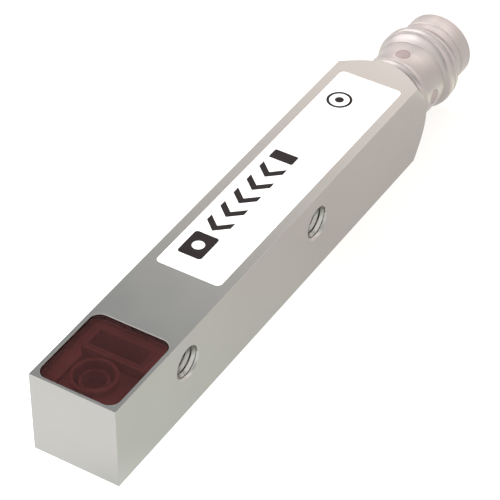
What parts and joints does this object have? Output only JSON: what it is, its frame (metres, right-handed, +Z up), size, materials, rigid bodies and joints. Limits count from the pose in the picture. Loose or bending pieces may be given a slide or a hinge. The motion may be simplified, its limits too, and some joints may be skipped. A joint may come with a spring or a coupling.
{
  "type": "photoelectric sensor",
  "caption": "Slim square metal block sensor with a red window in its top face, side mounting holes, a blank label and a round plug on the rear end.",
  "frame": {"origin": "under the middle of the whole sensor, in the plane of the body's underside", "axes": "+Y along the length towards the plug, +Z up through the face that holds the window, +X across the width"},
  "size_m": [0.008, 0.059, 0.008],
  "materials": {
    "housing_metal": "satin",
    "shell_metal": "satin",
    "window_red": "glossy, transparent red",
    "seal_rubber": "matte",
    "optics_plastic": "matte moulded",
    "lens_clear": "polished clear",
    "led_package": "glossy",
    "chip_black": "matte moulded",
    "tinned_steel": "tinned",
    "board_green": "solder mask",
    "flex_amber": "glossy film",
    "ceramic_tan": "matte ceramic",
    "spacer_plastic": "matte moulded",
    "spring_bronze": "rolled strip",
    "wire_insulation": "smooth",
    "potting_resin": "cast",
    "light_guide": "frosted clear",
    "insert_plastic": "matte moulded",
    "pin_gold": "gold plated",
    "label_white": "satin film",
    "label_ink": "printed"
  },
  "bodies": {
    "root": {"housing": "housing_metal", "front_window": "window_red", "window_gasket": "seal_rubber", "optics_carrier": "optics_plastic", "emitter_lens": "lens_clear", "receiver_lens": "lens_clear", "emitter_led": "led_package", "receiver_photodiode": "chip_black", "receiver_shield": "tinned_steel", "optics_board": "board_green", "board_link": "flex_amber", "main_board": "board_green", "controller_chip": "chip_black", "amplifier_chip": "chip_black", "voltage_regulator": "chip_black", "output_transistors": "chip_black", "protection_diodes": "chip_black", "capacitors": "ceramic_tan", "resistors": "chip_black", "status_leds": "led_package", "board_spacers": "spacer_plastic", "ground_spring": "spring_bronze", "lead_wires": "wire_insulation", "potting_compound": "potting_resin", "light_guide_ring": "light_guide", "connector_shell": "shell_metal", "shell_o_ring": "seal_rubber", "contact_seal": "seal_rubber", "connector_insert": "insert_plastic", "contact_pin_1": "pin_gold", "contact_pin_3": "pin_gold", "contact_pin_4": "pin_gold", "type_label": "label_white", "label_print": "label_ink"}
  },
  "joints": []
}
